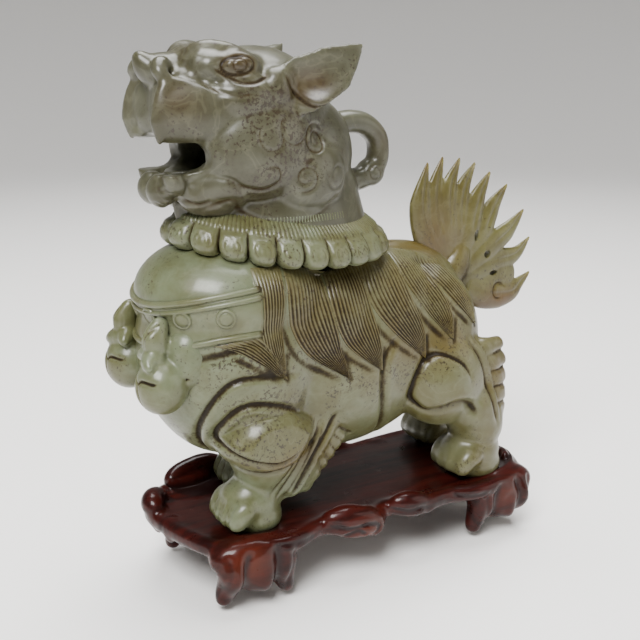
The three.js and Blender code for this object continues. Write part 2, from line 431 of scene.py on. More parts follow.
def noise(tree, scale, detail=4.0, rough=0.55, stretch=None, distortion=0.0):
    node = tree.nodes.new("ShaderNodeTexNoise")
    coordinate = tree.nodes.new("ShaderNodeTexCoord").outputs["Object"]
    if stretch:
        mapping = tree.nodes.new("ShaderNodeMapping")
        mapping.inputs["Scale"].default_value = stretch
        tree.links.new(coordinate, mapping.inputs["Vector"])
        coordinate = mapping.outputs["Vector"]
    tree.links.new(coordinate, node.inputs["Vector"])
    if isinstance(scale, (int, float)):
        node.inputs["Scale"].default_value = scale
    else:
        tree.links.new(scale, node.inputs["Scale"])
    node.inputs["Detail"].default_value = detail
    node.inputs["Roughness"].default_value = rough
    node.inputs["Distortion"].default_value = distortion
    return node.outputs["Fac"]


def ramp(tree, value, low, high):
    node = tree.nodes.new("ShaderNodeMapRange")
    node.interpolation_type = "SMOOTHSTEP"
    node.inputs["From Min"].default_value = low
    node.inputs["From Max"].default_value = high
    tree.links.new(value, node.inputs["Value"])
    return node.outputs["Result"]


def attribute(tree, name):
    node = tree.nodes.new("ShaderNodeAttribute")
    node.attribute_name = name
    return node.outputs["Fac"]


def build_clouding():
    """Cloudy patches, thin veins and small mineral specks inside the stone."""
    group, _, result = effect("stone_clouding", [],
                              [(n, "NodeSocketFloat") for n in ("Cloud", "Vein", "Speck")])
    dirt = attribute(group, "grime")
    cloud = noise(group, 22, 6, 0.6, distortion=0.4)
    fine = noise(group, 130, 5, 0.6)
    mixed = math(group, "ADD", math(group, "MULTIPLY", cloud, 0.7), math(group, "MULTIPLY", fine, 0.3))
    vein_field = noise(group, 38, 3, 0.5, distortion=1.2)
    vein = math(group, "ABSOLUTE", math(group, "SUBTRACT", vein_field, 0.5), 0)
    grit = math(group, "ADD", noise(group, 520, 3, 0.6), math(group, "MULTIPLY", dirt, 0.1))
    patch = math(group, "ADD", noise(group, 48, 3, 0.5), math(group, "MULTIPLY", dirt, 0.2))
    speck = math(group, "MULTIPLY", ramp(group, grit, 0.585, 0.655), ramp(group, patch, 0.48, 0.62))
    group.links.new(ramp(group, mixed, 0.38, 0.62), result.inputs["Cloud"])
    group.links.new(math(group, "SUBTRACT", 1, ramp(group, vein, 0.0, 0.035)), result.inputs["Vein"])
    group.links.new(speck, result.inputs["Speck"])
    return group


def build_cut_dirt_and_shade():
    """Old dirt and polish left in the cuts, and painted shade in the cuts and folds: brown at their edges,
    nearly black in their floors.
    """
    group, _, result = effect("cut_dirt_and_painted_shade", [], [(n, "NodeSocketFloat") for n in ("Brown", "Black")])
    cut = attribute(group, "cut")
    patchy = noise(group, 55, 4, 0.6)
    crumbs = noise(group, 260, 4, 0.65)
    uneven = math(group, "ADD", math(group, "MULTIPLY", patchy, 0.9),
                  math(group, "MULTIPLY", crumbs, 0.5))
    loaded = math(group, "MULTIPLY", cut, uneven)
    group.links.new(ramp(group, loaded, 0.14, 0.5), result.inputs["Brown"])
    group.links.new(ramp(group, loaded, 0.32, 0.66), result.inputs["Black"])
    return group


def new_material(name, viewport):
    material = bpy.data.materials.new(name)
    material.use_nodes = True
    material.diffuse_color = (*viewport, 1)
    tree = material.node_tree
    return material, tree, tree.nodes["Principled BSDF"]


def stone(name, pale, deep, brown, translucency):
    material, tree, shader = new_material(name, pale)
    clouds = tree.nodes.new("ShaderNodeGroup")
    clouds.node_tree = CLOUDING
    dirt_shade_nodes = tree.nodes.new("ShaderNodeGroup")
    dirt_shade_nodes.node_tree = CUT_DIRT_AND_SHADE
    warm = attribute(tree, "warm")
    ground = blend(tree, clouds.outputs["Cloud"], pale, deep)
    drift = math(tree, "MULTIPLY", warm, math(tree, "ADD", 0.45, noise(tree, 45, 4)), clamp=True)
    ground = blend(tree, drift, ground, brown)
    ground = blend(tree, math(tree, "MULTIPLY", clouds.outputs["Vein"], 0.1), ground, (0.2, 0.2, 0.13))
    ground = blend(tree, math(tree, "MULTIPLY", clouds.outputs["Speck"], 0.85), ground,
                   (0.022, 0.013, 0.006))
    # Brown, then near black, in the cuts and folds: old dirt plus painted shade.
    ground = blend(tree, math(tree, "MULTIPLY", dirt_shade_nodes.outputs["Brown"], 0.8), ground,
                   (0.034, 0.021, 0.007))
    ground = blend(tree, math(tree, "MULTIPLY", dirt_shade_nodes.outputs["Black"], 0.85), ground,
                   (0.010, 0.007, 0.005))
    tree.links.new(ground, shader.inputs["Base Color"])
    gloss = math(tree, "ADD", 0.24, math(tree, "MULTIPLY", noise(tree, 90, 4), 0.18))
    gloss = math(tree, "ADD", gloss, math(tree, "MULTIPLY", dirt_shade_nodes.outputs["Brown"], 0.25))
    tree.links.new(gloss, shader.inputs["Roughness"])
    bump = tree.nodes.new("ShaderNodeBump")
    bump.inputs["Strength"].default_value = 0.25
    bump.inputs["Distance"].default_value = 0.0004
    ripple = math(tree, "ADD", noise(tree, 160, 3), math(tree, "MULTIPLY", noise(tree, 900, 2), 0.25))
    tree.links.new(ripple, bump.inputs["Height"])
    tree.links.new(bump.outputs["Normal"], shader.inputs["Normal"])
    shader.inputs["IOR"].default_value = 1.56
    shader.inputs["Subsurface Weight"].default_value = translucency
    shader.inputs["Subsurface Radius"].default_value = (1.0, 0.95, 0.6)
    shader.inputs["Subsurface Scale"].default_value = 0.004
    matte = math(tree, "SUBTRACT", 0.3, math(tree, "MULTIPLY", dirt_shade_nodes.outputs["Brown"], 0.26))
    tree.links.new(matte, shader.inputs["Specular IOR Level"])
    shader.inputs["Coat Weight"].default_value = 0.12
    shader.inputs["Coat Roughness"].default_value = 0.1
    return material


def lacquered_wood(name):
    material, tree, shader = new_material(name, (0.12, 0.02, 0.015))
    cut = attribute(tree, "cut")
    warm = attribute(tree, "warm")
    grain = noise(tree, 60, 6, 0.6, stretch=(0.25, 2.2, 2.2), distortion=0.6)
    pores = noise(tree, 420, 3, 0.6, stretch=(0.12, 1, 1))
    tone = blend(tree, ramp(tree, grain, 0.35, 0.65), (0.010, 0.0016, 0.0013), (0.034, 0.0045, 0.003))
    tone = blend(tree, math(tree, "MULTIPLY", ramp(tree, pores, 0.56, 0.66), 0.5), tone,
                 (0.014, 0.004, 0.003))
    tone = blend(tree, math(tree, "MULTIPLY", warm, 0.75), tone, (0.105, 0.018, 0.006))
    # Darker in the cuts and folds: dirt plus painted shade.
    tone = blend(tree, ramp(tree, cut, 0.1, 0.8), tone, (0.012, 0.004, 0.004))
    tone = blend(tree, math(tree, "MULTIPLY", attribute(tree, "grime"), 0.85), tone,
                 (0.006, 0.0018, 0.0016))
    tree.links.new(tone, shader.inputs["Base Color"])
    gloss = math(tree, "ADD", 0.2, math(tree, "MULTIPLY", noise(tree, 70, 4), 0.2))
    tree.links.new(gloss, shader.inputs["Roughness"])
    bump = tree.nodes.new("ShaderNodeBump")
    bump.inputs["Strength"].default_value = 0.25
    bump.inputs["Distance"].default_value = 0.0004
    tree.links.new(math(tree, "SUBTRACT", noise(tree, 110, 3), math(tree, "MULTIPLY", pores, 0.3)),
                   bump.inputs["Height"])
    tree.links.new(bump.outputs["Normal"], shader.inputs["Normal"])
    shader.inputs["Specular IOR Level"].default_value = 0.12
    shader.inputs["Coat Weight"].default_value = 0.2
    shader.inputs["Coat Roughness"].default_value = 0.1
    return material


CLOUDING = build_clouding()
CUT_DIRT_AND_SHADE = build_cut_dirt_and_shade()
JADE = stone("polished_jade", (0.110, 0.128, 0.074), (0.072, 0.076, 0.031), (0.074, 0.050, 0.009), 0.12)
# The head's jade is darker than the body's: partly a smokier stone, partly painted shade.
SHADED_HEAD_JADE = stone("smoky_shaded_jade", (0.070, 0.072, 0.048), (0.037, 0.037, 0.019), (0.038, 0.025, 0.008),
                  0.12)
TAIL_JADE = stone("olive_jade", (0.096, 0.090, 0.030), (0.062, 0.052, 0.011), (0.075, 0.028, 0.004),
                  0.25)
ROSEWOOD = lacquered_wood("lacquered_rosewood")


# ---------------------------------------------------------------- body

def paw_lumps(bm, x, y, reach):
    """A blunt paw of four toes."""
    ball(bm, (x + 1, y, 62), (reach - 1, 18, 17))
    ball(bm, (x + 4, y, 52), (reach - 3, 18, 13))
    for k in range(4):
        toe_y = y + (k - 1.5) * 8.6
        tip = x - reach + 2 + abs(k - 1.5) * 1.6
        limb(bm, [(x, toe_y, 62), (tip + 8, toe_y, 62), (tip + 3, toe_y, 56), (tip + 3, toe_y, 49)],
             [8, 8.2, 7.4, 7.4], along=12, around=14)


def leg_lumps(bm, side):
    x, y = FRONT_PAWS[side]
    limb(bm, [(x + 8, y * 1.1, 128), (x + 8, y * 1.15, 112), (x + 10, y * 1.1, 92), (x + 9, y, 72),
              (x + 4, y, 60)],
         [22, 34, 24, 17, 15], along=20)
    paw_lumps(bm, x, y, 21)
    x, y = HIND_PAWS[side]
    ball(bm, (x - 27, y * 1.0, 120), (36, 22, 34))
    limb(bm, [(x - 20, y, 112), (x - 4, y, 96), (x + 2, y, 80), (x + 1, y, 62)], [24, 23, 20, 19],
         along=20)
    paw_lumps(bm, x - 2, y, 23)


def front_hair(bm, side):
    """The flat fringe of hair behind a front leg, ending in scallops and a curl."""
    x, y = FRONT_PAWS[side]
    out = y * 1.35
    limb(bm, [(x + 18, out, 62), (x + 30, out, 82), (x + 44, out, 100), (x + 54, out, 114)],
         [9, 13, 13, 9], flat=0.6)
    for k in range(5):
        share = k / 4
        start = (x + 26 + 20 * share, out, 72 + 28 * share)
        tip = (x + 42 + 24 * share, out, 66 + 26 * share)
        limb(bm, [start, tip], [8, 5.5], flat=0.6, along=10, around=14)


def hind_hair(bm, side):
    """Five scalloped locks that stand out behind a hock."""
    x, y = HIND_PAWS[side]
    out = y * 1.25
    limb(bm, [(x - 2, out, 146), (x + 4, out, 124), (x + 10, out, 104), (x + 14, out, 84)],
         [8, 11, 11, 8], flat=0.7)
    for k in range(5):
        share = k / 4
        start = (x - 4 + 10 * share, out, 136 - 42 * share)
        tip = (x + 10 + 13 * sin(pi * (0.25 + 0.6 * share)), out * 0.97, 139 - 48 * share)
        limb(bm, [start, tip], [8, 6.5], flat=0.65, along=12, around=16)


def rough_body():
    bm = bmesh.new()
    ball(bm, (-83, 0, 157), (60, 54.5, 71), around=48)
    ball(bm, (-83, 0, 190), (60, 54, 36), 0.1, around=48)
    ball(bm, (-14, 0, 146), (92, 49, 69), around=48)
    ball(bm, (-40, 0, 170), (60, 50, 44), around=48)
    ball(bm, (54, 0, 142), (47, 43, 55), around=40)
    limb(bm, [(-10, 0, 198), (40, 0, 199), (66, 0, 190), (84, 0, 172)], [13, 12, 12, 12], along=24)
    for side in (NEAR, FAR):
        leg_lumps(bm, side)
        front_hair(bm, side)
        hind_hair(bm, side)
    hollow = bmesh.new()
    drum(hollow, SEAT[:1] + (0,), (47.3, 33.3), (47.3, 33.3), 165, 260)
    ball(hollow, (-48, 0, 160), (64, 36, 46))
    return fused(bm, "body", 1.6, fused(hollow, "body_hollow", 1.5))


SHOULDER_SCROLL = [(-62, 149), (-79, 149), (-94, 151), (-106, 149), (-114, 141), (-119, 129),
                   (-120, 117),
                   (-116, 105), (-107, 96), (-92, 90), (-75, 91), (-58, 94), (-46, 104), (-41, 114)]
SHOULDER_OVAL = [(-60, 120), (-67, 126), (-80, 131), (-93, 134), (-102, 132), (-108, 126), (-112, 117),
                 (-110, 109),
                 (-104, 104), (-94, 100), (-80, 97), (-66, 102), (-58, 110)]
HAUNCH_SCROLL = [(66, 122), (62, 130), (57, 136), (48, 141), (41, 142), (34, 139), (29, 132), (26, 124),
                 (25, 116),
                 (28, 110), (34, 105), (42, 104)]
HAUNCH_FOLD = [(36, 105), (44, 106), (52, 109), (61, 108), (69, 103), (74, 94)]
FLANK_FOLD = [(10, 158), (2, 150), (-1, 140), (0, 125), (4, 110), (8, 96), (10, 84)]


# Each lock of the mane: its upper and lower edge lines, both ending at the tip, and its grooves.
MANE = [
    ([(-118, 171), (-104, 167), (-88, 157), (-74, 147)],
     [(-88, 178), (-82, 170), (-77, 159), (-73, 148)], 9),
    ([(-92, 214), (-92, 190), (-88, 168), (-74, 146)], [(-68, 214), (-72, 192), (-74, 168), (-73, 145)],
     11),
    ([(-72, 214), (-74, 186), (-62, 160), (-27, 138)], [(-36, 212), (-36, 186), (-31, 160), (-26, 137)],
     14),
    ([(-40, 212), (-42, 180), (-30, 158), (-4, 140)], [(-6, 210), (-5, 186), (-2, 160), (-3, 138)], 14),
    ([(-10, 210), (-12, 184), (4, 162), (34, 140)], [(24, 208), (30, 182), (36, 160), (35, 138)], 14),
    ([(20, 210), (22, 190), (38, 168), (55, 150)], [(48, 205), (56, 186), (60, 168), (56, 148)], 12),
    ([(44, 206), (48, 192), (62, 172), (79, 156)], [(68, 196), (76, 184), (82, 170), (80, 154)], 10),
]


def shifted(path, side, step):
    """A path in the X-Z plane, moved along with the far legs when it is on the far side."""
    return [(x + (step if side == FAR else 0), z) for x, z in path]


def carve_body():
    body = Carving(rough_body())
    body.smooth(8)
    front_step = FRONT_PAWS[FAR][0] - FRONT_PAWS[NEAR][0]
    hind_step = HIND_PAWS[FAR][0] - HIND_PAWS[NEAR][0]
    for side in (NEAR, FAR):
        y = 40 * side
        scroll = shifted(SHOULDER_SCROLL, side, front_step)
        oval = shifted(SHOULDER_OVAL, side, front_step)
        body.swell((oval[0][0] - 26, y * 1.2, 116), (24, 14, 15), 5)
        body.groove(scroll, 1.7, 2.8, side, lip=1.6)
        body.groove(oval, 1.6, 3.0, side, lip=1.8)
        haunch = shifted(HAUNCH_SCROLL, side, hind_step)
        body.swell((haunch[0][0] - 18, y * 1.2, 122), (20, 14, 17), 4)
        body.groove(haunch, 1.6, 2.8, side, lip=1.6)
        body.groove(shifted(HAUNCH_FOLD, side, hind_step), 2.6, 2.6, side, lip=1.6, dirt_and_shade=0.5)
        body.groove(shifted(FLANK_FOLD, side, hind_step), 2.2, 3.0, side, lip=1.2, dirt_and_shade=0.6)
        body.groove([(-138, 163), (-122, 164), (-106, 168), (-92, 171), (-80, 160)], 3.0, 1.6, side,
                    dirt_and_shade=0.9)
        # Painted shadow: shallow dark lines on the body just below the edges of each mane lock.
        for upper, lower, _ in MANE:
            body.groove([(x - 3, z - 2) for x, z in upper[1:]], 2.6, 0.6, side, dirt_and_shade=0.75)
            body.groove([(x + 1, z - 3) for x, z in lower[2:]], 2.6, 0.3, side, dirt_and_shade=0.75)
        x, paw_y = FRONT_PAWS[side]
        for k in range(4):
            hair = [(x + 38 + 3 * k, 118 - 2 * k), (x + 28 + 4 * k, 100 - 3 * k),
                    (x + 14 + 5 * k, 80 - 3 * k),
                    (x + 6 + 5 * k, 66 - 2 * k)]
            body.groove(hair, 1.3, 1.1, side, dirt_and_shade=0.75)
        body.groove([(x + 56, 116), (x + 50, 106), (x + 40, 92), (x + 30, 76), (x + 24, 64)], 1.8, 2.2,
                    side)
        for k in range(5):
            share = k / 4
            body.groove([(x + 42 + 16 * share, 98 + 16 * share - 10),
                         (x + 50 + 22 * share, 78 + 24 * share - 8)],
                        1.2, 1.5, side, dirt_and_shade=0.6)
        x, paw_y = HIND_PAWS[side]
        body.groove([(x - 16, 148), (x - 8, 134), (x - 2, 116), (x + 3, 98), (x + 8, 84)], 2.0, 2.4,
                    side, dirt_and_shade=0.7)
        body.groove([(x - 9, 150), (x - 1, 134), (x + 5, 116), (x + 9, 98), (x + 11, 84)], 1.3, 1.2,
                    side, dirt_and_shade=0.5)
        for k in range(4):
            share = (k + 0.5) / 4
            start = (x - 2 + 10 * share, 140 - 46 * share)
            tip = (x + 16 + 12 * sin(pi * (0.25 + 0.6 * share)), 141 - 50 * share)
            body.groove([start, tip], 1.3, 1.8, side, dirt_and_shade=0.7)
        for paw_y in (FRONT_PAWS[side][1], HIND_PAWS[side][1]):
            for k in (-1, 0, 1):
                gap = paw_y + 8.6 * k
                body.groove([(gap, 68), (gap, 58), (gap, 46)], 1.2, 1.8, -1, axis=0, dirt_and_shade=0.35)
    body.smooth(1)
    body.co[:, 2] = np.maximum(body.co[:, 2], SOLE)
    body.shade_folds(1.6)
    body.warm += 0.03 + 0.42 * np.clip((body.co[:, 0] + 50) / 90, 0, 1)
    for side in (NEAR, FAR):
        body.patch((-85, 50 * side, 120), (30, 20, 28), 0.25, 0.55)
        body.patch((-95, 50 * side, 165), (26, 22, 12), 0.1, 0.9)
        body.patch((-20, 50 * side, 132), (60, 20, 12), 0.2, 0.7)
        body.patch((-75, 50 * side, 95), (24, 20, 9), 0.9, 0.3)
        body.patch((60, 50 * side, 150), (30, 20, 10), 0.2, 0.5)
    body.patch((-120, 0, 105), (24, 60, 16), 0.1, 0.6)
    body.patch((50, 0, 208), (45, 14, 14), 0.8)
    body.patch((-45, 0, 95), (22, 80, 26), 0.7)
    body.patch((104, 0, 115), (18, 80, 34), 0.7)
    body.patch((-10, 0, 150), (80, 80, 12), 0.5)
    return body


# ---------------------------------------------------------------- mane, strap and bells

def flank(tree, side):
    """Lays points given by X and Z on one side of the body."""
    def project(x, z):
        hit, normal, _, _ = tree.ray_cast(Vector((x, 150 * side, z)), Vector((0, -side, 0)))
        if hit is None or hit.y * side < 0:
            hit, normal, _, _ = tree.find_nearest(Vector((x, 22 * side, z)))
        return hit, normal
    return project


def chest(tree):
    """Lays points given by an angle round the chest, in degrees from straight ahead, and Z."""
    def project(angle, z):
        out = Vector((-cos(radians(angle)), sin(radians(angle)), 0))
        centre = Vector((CHEST[0], CHEST[1], z))
        hit, normal, _, _ = tree.ray_cast(centre + 150 * out, -out)
        return hit, normal
    return project


def carve_mane(tree, side):
    bm = bmesh.new()
    cuts = []
    project = flank(tree, side)
    for upper, lower, grooves in MANE:
        made = strip(bm, upper, lower, project, 2.4, grooves, 0.9, around=8 * grooves, along=44)
        cuts.extend(made)
    mane = Carving(new_mesh(bm, "mane"))
    low = np.clip((176 - mane.co[:, 2]) / 34, 0, 1)
    mane.cut = np.array(cuts) * (0.8 + 0.3 * low) + 0.16 * low
    mane.warm = 0.62 + 0.38 * low
    mane.grime = 0.2 + 0.6 * low
    return mane


# ---------------------------------------------------------------- head

# The lid's seat is a plane that rises towards the chest.
SEAT = (-50.0, 218.0)
SEAT_SLOPE = -0.1


def seat_height(x):
    return SEAT[1] + SEAT_SLOPE * (x - SEAT[0])


def drum(bm, centre, low, high, bottom, top):
    """An upright oval drum that may taper, given its half sizes at the bottom and at the top."""
    middle = (centre[0], centre[1], (bottom + top) / 2)
    place = Matrix.Translation(middle) @ Matrix.Diagonal((low[0], low[1], 1, 1))
    bmesh.ops.create_cone(bm, cap_ends=True, segments=64, radius1=1, radius2=high[0] / low[0],
                          depth=top - bottom,
                          matrix=place)


def leaf(bm, spine, widths, face, thick, cup):
    """A thin pointed leaf dished on the side that looks along face."""
    along, around = 40, 28
    verts, _, ring, turn = round_points(bm, around, along)
    line = smooth_line(spine, along)
    width = np.interp(np.linspace(0, 1, along + 1), np.linspace(0, 1, len(widths)), widths)
    across, out = frames(line, face)
    angle = (2 * pi * turn)[:, None]
    half = width[ring][:, None]
    depth = np.minimum(thick, half * 0.5) * np.sin(angle) - cup * half * np.sin(angle) ** 2
    place_all(verts, line[ring] + half * np.cos(angle) * across[ring] + depth * out[ring])


def face_lumps(bm, side):
    """Everything there is two of: cheek, lip panel, fangs, brow, jaw and ear."""
    s = side
    ball(bm, (-74, 27 * s, 279), (35, 18, 30))
    ball(bm, (-46, 25 * s, 262), (27, 18, 25))
    limb(bm, [(-92, 26 * s, 299), (-114, 22 * s, 300), (-133, 17 * s, 301)], [18, 18, 17], flat=0.66,
         blunt=False)
    ball(bm, (-85, 27 * s, 306), (22, 14, 15))
    limb(bm, [(-127, 22 * s, 318), (-132, 23 * s, 308), (-134, 23 * s, 297), (-133.5, 22 * s, 282.5)],
         [4.5, 4.5, 5, 1.6])
    limb(bm, [(-128, 22 * s, 317), (-116, 25 * s, 314), (-104, 29 * s, 311)], [3.6, 3.2, 1.5])
    limb(bm, [(-122, 12 * s, 324), (-129, 15 * s, 325), (-131, 20 * s, 321), (-126, 21 * s, 317)],
         [5, 5.5, 4.5, 3.4])
    limb(bm, [(-112, 9 * s, 330), (-103, 16 * s, 333), (-91, 20 * s, 332), (-77, 20 * s, 327),
              (-64, 22 * s, 321)],
         [5, 6, 5.5, 4.6, 3])
    limb(bm, [(-104, 28 * s, 321), (-96, 32 * s, 318), (-86, 34 * s, 316.5), (-75, 34 * s, 319)],
         [2, 2.4, 2.4, 1.6])
    ball(bm, (-88, 25 * s, 323), (15, 10, 10))
    ball(bm, (-90, 31 * s, 325.5), (8, 5, 4.5))
    ball(bm, (-102, 22 * s, 324), (10, 9, 9))
    ball(bm, (-125, 13 * s, 302), (11, 12, 16))
    limb(bm, [(-84, 15 * s, 253), (-104, 15 * s, 254), (-121, 12 * s, 256)], [16, 14, 11])
    limb(bm, [(-117, 13 * s, 258), (-99, 19 * s, 259), (-80, 26 * s, 264)], [9, 15, 19])
    limb(bm, [(-126, 17 * s, 262), (-116, 20 * s, 265), (-106, 26 * s, 269), (-98, 34 * s, 272)],
         [3.4, 3.2, 3.2, 3.4])
    limb(bm, [(-121, 17 * s, 255), (-126, 19 * s, 265), (-131.5, 20 * s, 276.5)], [8, 6, 1.4])
    limb(bm, [(-128, 7 * s, 262), (-130, 7 * s, 268.5)], [4, 2.4])
    ball(bm, (-128, 7 * s, 256), (9, 10, 10))
    leaf(bm, [(-70, 27 * s, 309), (-56, 37 * s, 313), (-39, 44 * s, 321.5), (-19, 49 * s, 337.5)],
         [12, 17, 14, 0.6],
         (-0.25, s, 0.15), 3.6, 0.3)
    ball(bm, (-66, 31 * s, 312), (12, 9, 13), 0.5)


def handle_lumps(bm):
    """The band handle behind the head, which ends in a curl."""
    band = [(-14, 0, 287), (-2, 0, 289.5), (11, 0, 288), (21, 0, 280), (23, 0, 270), (21, 0, 262),
            (13, 0, 255),
            (2, 0, 253), (-10, 0, 258)]
    limb(bm, band, [7.5, 7.5, 7.5, 7.2, 7, 7.2, 7.5, 7.5, 7], flat=1.15, along=48)
    limb(bm, [(17, -10, 257), (17, 10, 257)], [9, 9], face=(1, 0, 0), around=24)


def rough_head():
    bm = bmesh.new()
    ball(bm, (-67, 0, 292), (49, 39, 44), around=48)
    ball(bm, (-38, 0, 272), (36, 34, 38), around=40)
    drum(bm, (-50, 0), (64, 42), (50, 35), 214, 262)
    limb(bm, [(-78, 0, 303), (-106, 0, 304), (-132, 0, 303)], [27, 21, 17], flat=1.4, around=40,
         along=40)
    limb(bm, [(-104, 0, 319), (-118, 0, 320), (-130, 0, 324), (-138, 0, 332.5)], [15, 13, 10, 2.4],
         flat=1.15,
         around=24)
    ball(bm, (-96, 0, 321), (24, 22, 15))
    ball(bm, (-112, 0, 318), (16, 25, 9))
    for k in range(-3, 4):
        bend = 0.6 * k * k
        limb(bm, [(-104 + bend, 7 * k, 335 - bend), (-114 + bend, 7 * k, 328),
                  (-117 + bend, 7.4 * k, 315)],
             [4, 4.4, 3.2], around=14)
    for side in (NEAR, FAR):
        face_lumps(bm, side)
    handle_lumps(bm)
    drum(bm, SEAT[:1] + (0,), (47, 33), (47, 33), 209, 230)
    hollow = bmesh.new()
    drum(hollow, SEAT[:1] + (0,), (41, 27), (41, 27), 190, 240)
    ball(hollow, (-56, 0, 240), (46, 26, 46))
    limb(hollow, [(-122, 0, 275), (-98, 0, 275), (-62, 0, 268)], [9, 11, 12], flat=1.9)
    limb(hollow, [(-175, 0, 274), (-134, 0, 274.5), (-106, 0, 276)], [11, 9.5, 9], flat=7, around=40,
         along=40)
    return fused(bm, "head", 1.1, fused(hollow, "head_hollow", 1.6))


EYE = [(-90 + 10 * cos(a), 325.5 + 5.4 * sin(a) + cos(a)) for a in np.linspace(0, 2 * pi, 12,
                                                                               endpoint=False)]
PUPIL = [(-90 + 4.4 * cos(a), 325.5 + 3.8 * sin(a)) for a in np.linspace(0, 2 * pi, 10, endpoint=False)]


def spiral(centre, outer, turns, start=0.0, inner=1.5):
    """A curl in the X-Z plane, from its outer end inwards."""
    steps = np.linspace(0, 1, int(14 * turns))
    return [(centre[0] + (outer + (inner - outer) * t) * cos(start + 2 * pi * turns * t),
             centre[1] + (outer + (inner - outer) * t) * sin(start + 2 * pi * turns * t)) for t in steps]


# Lines cut into the side of the face: path in X and Z, width, depth and how much dirt and painted shade
# they hold.
FACE_LINES = [
    ([(-106, 325), (-98, 319.5), (-88, 316), (-79, 317), (-72, 321)], 1.4, 1.2, 0.8),
    ([(-112, 318), (-104, 312), (-94, 309), (-82, 310)], 1.3, 0.8, 0.5),
    (spiral((-75, 286), 9, 0.7, 2.3, 6), 1.0, 1.0, 0.5),
    (spiral((-60, 290), 10, 0.6, 2.2, 8), 1.0, 1.0, 0.5),
    (spiral((-44, 283), 9.5, 1.8, 0.6), 1.0, 1.1, 0.55),
    (spiral((-53, 262), 9, 1.5, 3.9), 1.0, 1.1, 0.5),
    ([(-98, 262), (-88, 258), (-78, 257), (-70, 262), (-72, 269), (-80, 270)], 1.0, 0.9, 0.6),
    (spiral((-30, 262), 9, 1.1, 2.8, 4), 1.0, 0.9, 0.35),
    ([(-116, 243), (-104, 249), (-95, 251), (-88, 244), (-76, 238), (-58, 236), (-40, 240), (-28, 250)],
     2.0, 1.0, 0.5),
    ([(-121, 252), (-114, 249), (-106, 251)], 1.3, 1.4, 0.5),
    ([(-105, 265), (-96, 262), (-90, 255)], 1.4, 1.0, 0.3),
    ([(-64, 322), (-58, 311), (-50, 303), (-40, 300)], 1.6, 1.6, 0.7),
]


def carve_head():
    head = Carving(rough_head())
    head.smooth(8)
    for side in (NEAR, FAR):
        head.groove(EYE, 1.1, 1.3, side, closed=True, dirt_and_shade=0.85)
        head.groove(PUPIL, 0.9, 0.8, side, closed=True, dirt_and_shade=0.8)
        for path, width, depth, dirt_and_shade in FACE_LINES:
            head.groove(path, width, depth, side, dirt_and_shade=dirt_and_shade)
        head.swell((-50, 41.0 * side, 314), (11, 12, 7), -1.6)
        head.swell((-138, 9.0 * side, 303), (12, 9, 11), -2.5)
        head.patch((-90, 30.0 * side, 326), (9, 10, 6), 1.3, 0.2)
        head.patch((-50, 41.0 * side, 314), (12, 12, 9), 1.2, 0.2)
        head.patch((-124, 28.0 * side, 305), (14, 12, 12), 0.6)
        head.patch((-106, 16.0 * side, 248), (16, 16, 12), 0.4)
        for k in range(3):
            head.groove([(x, z - 4.2 * k) for x, z in [(-135, 259), (-129, 256), (-122, 256)]], 0.8, 0.7,
                        side, dirt_and_shade=0.4)
    for edge in (NEAR, FAR):
        head.groove(spiral((17, 257), 6.2, 1.3, 1.0), 0.9, 0.9, edge, dirt_and_shade=0.5)
    head.patch((24, 0, 278), (14, 14, 14), 0.5)
    head.smooth(1, 0.3)
    head.shade_folds(1.6)
    head.warm += 0.15
    for side in (NEAR, FAR):
        head.patch((-60, 40 * side, 285), (30, 20, 26), 0.1, 0.9)
        head.patch((-78, 36 * side, 306), (22, 20, 10), 0.1, 0.9)
        head.patch((-84, 40 * side, 256), (20, 20, 12), 0.1, 0.6)
    head.patch((-100, 0, 332), (18, 30, 10), 0.2, 0.5)
    return head


def carve_fringe(tree):
    """The row of short strokes round the neck, under the jaw."""
    def project(angle, z):
        out = Vector((-cos(radians(angle)), sin(radians(angle)), 0))
        hit, normal, _, _ = tree.ray_cast(Vector((SEAT[0], 0, z)) + 150 * out, -out)
        return hit, normal
    bm = bmesh.new()
    cuts = []
    for start, end in ((-148, -20), (20, 148)):
        made = strip(bm, [(start, 240), (start, 238), (start, 235)],
                     [(end, 240), (end, 238), (end, 235)], project, 1.0,
                     44, 0.9, around=440, along=10)
        cuts.extend(made)
    fringe = Carving(new_mesh(bm, "fringe"))
    fringe.cut = np.array(cuts) * 0.5
    return fringe


LOBES = 22
COLLAR = (65.0, 43.0)
COLLAR_SECTION = [(-18, 24), (-12, 21), (-6, 17), (-1, 13), (3.5, 9), (7, 5), (9, 1), (9.5, -3),
                  (7.5, -7), (3, -9),
                  (-2, -7), (-6, -2), (-10, 5), (-15, 12), (-20, 18)]


def oval_walk(half_x, half_y, shares):
    """Points and outward directions spaced evenly along an oval, from the front by the near side."""
    turn = np.linspace(0, 2 * pi, 721)
    points = np.stack([-half_x * np.cos(turn), -half_y * np.sin(turn)], axis=1)
    run = np.concatenate([[0], np.cumsum(np.linalg.norm(np.diff(points, axis=0), axis=1))])
    angle = np.interp(np.asarray(shares) * run[-1], run, turn)
    place = np.stack([-half_x * np.cos(angle), -half_y * np.sin(angle)], axis=1)
    out = np.stack([-half_y * np.cos(angle), -half_x * np.sin(angle)], axis=1)
    return place, out / np.linalg.norm(out, axis=1)[:, None], run[-1]


